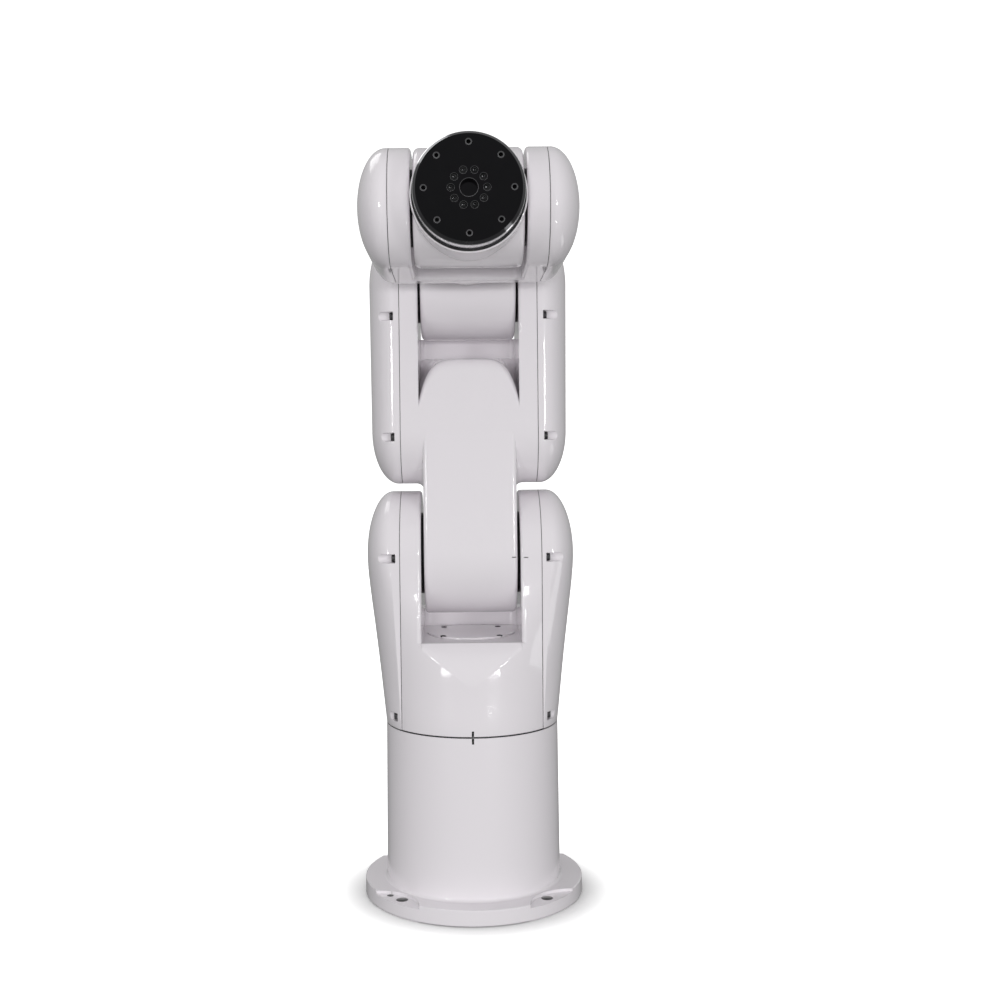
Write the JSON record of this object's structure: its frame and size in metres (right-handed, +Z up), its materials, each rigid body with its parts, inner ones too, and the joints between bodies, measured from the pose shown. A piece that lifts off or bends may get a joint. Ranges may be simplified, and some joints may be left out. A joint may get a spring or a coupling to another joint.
{
  "type": "bench robot arm",
  "caption": "Six-axis bench robot arm: round bolted base, turning forked shoulder, upper arm, elbow, rolling forearm, forked wrist and a drilled tool flange.",
  "frame": {"origin": "on the waist axis, at the underside of the base flange", "axes": "+Z up along the waist axis; -Y forward, the way the forearm points at rest; +X along the shoulder, elbow and wrist axes"},
  "size_m": [0.215, 0.4081, 0.6914],
  "materials": {
    "white_paint": "gloss",
    "dark_seal": "matte",
    "flange_metal": "polished",
    "socket_metal": "satin"
  },
  "bodies": {
    "base": {"base_casting": "white_paint", "cable_socket": "socket_metal", "waist_bearing": "dark_seal"},
    "turret": {"turret_casting": "white_paint", "turret_floor_plate": "white_paint", "shoulder_cover_left": "white_paint", "shoulder_cover_right": "white_paint", "shoulder_gasket_left": "dark_seal", "shoulder_gasket_right": "dark_seal", "shoulder_hub_left": "dark_seal", "shoulder_hub_right": "dark_seal"},
    "upper_arm": {"upper_arm_casting": "white_paint", "upper_arm_cover_left": "white_paint", "upper_arm_cover_right": "white_paint", "upper_arm_gasket_left": "dark_seal", "upper_arm_gasket_right": "dark_seal", "elbow_hub_left": "dark_seal", "elbow_hub_right": "dark_seal"},
    "forearm": {"forearm_housing": "white_paint", "forearm_rear_cover": "white_paint", "roll_bearing": "dark_seal"},
    "wrist_fork": {"wrist_fork_casting": "white_paint", "wrist_cover_left": "white_paint", "wrist_cover_right": "white_paint", "wrist_gasket_left": "dark_seal", "wrist_gasket_right": "dark_seal", "wrist_hub_left": "dark_seal", "wrist_hub_right": "dark_seal"},
    "wrist": {"wrist_barrel": "white_paint", "flange_seal": "dark_seal"},
    "flange": {"tool_flange": "flange_metal"}
  },
  "joints": [
    {"name": "waist_turn", "type": "hinge", "parent": "base", "child": "turret", "pos_m": [0, 0, 0.1686], "axis": [0, 0, 1], "range_deg": [-170, 170]},
    {"name": "shoulder_swing", "type": "hinge", "parent": "turret", "child": "upper_arm", "pos_m": [0, 0, 0.3345], "axis": [1, 0, 0], "range_deg": [-90, 90]},
    {"name": "elbow_swing", "type": "hinge", "parent": "upper_arm", "child": "forearm", "pos_m": [0, 0, 0.6003], "axis": [-1, 0, 0], "range_deg": [-50, 90]},
    {"name": "forearm_roll", "type": "hinge", "parent": "forearm", "child": "wrist_fork", "pos_m": [0, -0.1125, 0.6407], "axis": [0, -1, 0], "range_deg": [-170, 170]},
    {"name": "wrist_swing", "type": "hinge", "parent": "wrist_fork", "child": "wrist", "pos_m": [0, -0.211, 0.6407], "axis": [-1, 0, 0], "range_deg": [-110, 110]},
    {"name": "flange_turn", "type": "hinge", "parent": "wrist", "child": "flange", "pos_m": [0, -0.2765, 0.6407], "axis": [0, -1, 0], "range_deg": [-360, 360]}
  ]
}
